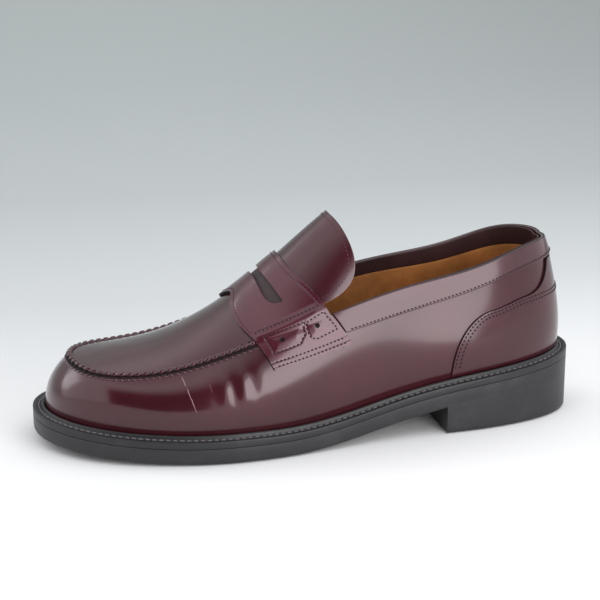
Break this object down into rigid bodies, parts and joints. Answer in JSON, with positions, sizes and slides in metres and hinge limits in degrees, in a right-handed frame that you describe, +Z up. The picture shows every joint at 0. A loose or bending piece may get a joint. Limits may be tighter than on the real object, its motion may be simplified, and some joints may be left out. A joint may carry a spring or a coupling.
{
  "type": "penny loafer",
  "caption": "Left slip-on moccasin-front shoe with a slotted saddle strap, stitched welt, moulded rubber sole and low heel block.",
  "frame": {"origin": "centre of the bounding box's underside, on the ground under the shoe", "axes": "+X from toe to heel along the longest side, so the toe is at -X; -Y is the outer (lateral) side; +Z up"},
  "size_m": [0.298, 0.1093, 0.1166],
  "materials": {
    "sole_rubber": "satin moulded",
    "welt_rubber": "satin, stitched channel",
    "rib_canvas": "woven tape",
    "cork": "pressed cork granules",
    "shank_steel": "cold rolled strip",
    "insole_board": "vegetable tanned board",
    "lining_tan": "smooth undyed calf",
    "facing_dark": "smooth matt",
    "stiffener": "resin-stiffened felt",
    "upper_leather": "polished corrected grain, deep burgundy",
    "strap_leather": "polished corrected grain, slightly redder burgundy"
  },
  "bodies": {
    "root": {"outsole": "sole_rubber", "heel_block": "sole_rubber", "welt": "welt_rubber", "insole_rib": "rib_canvas", "cork_filler": "cork", "shank": "shank_steel", "insole": "insole_board", "sock_lining": "lining_tan", "skirt": "upper_leather", "toe_puff": "stiffener", "counter_stiffener": "stiffener", "vamp_lining": "lining_tan", "quarter_lining": "lining_tan", "collar_facing": "facing_dark", "moc_roll": "upper_leather", "apron": "upper_leather", "apron_lining": "lining_tan", "tongue": "upper_leather", "tongue_lining": "lining_tan", "saddle_strap": "strap_leather", "collar_band": "upper_leather", "counter_cover": "upper_leather"}
  },
  "joints": []
}
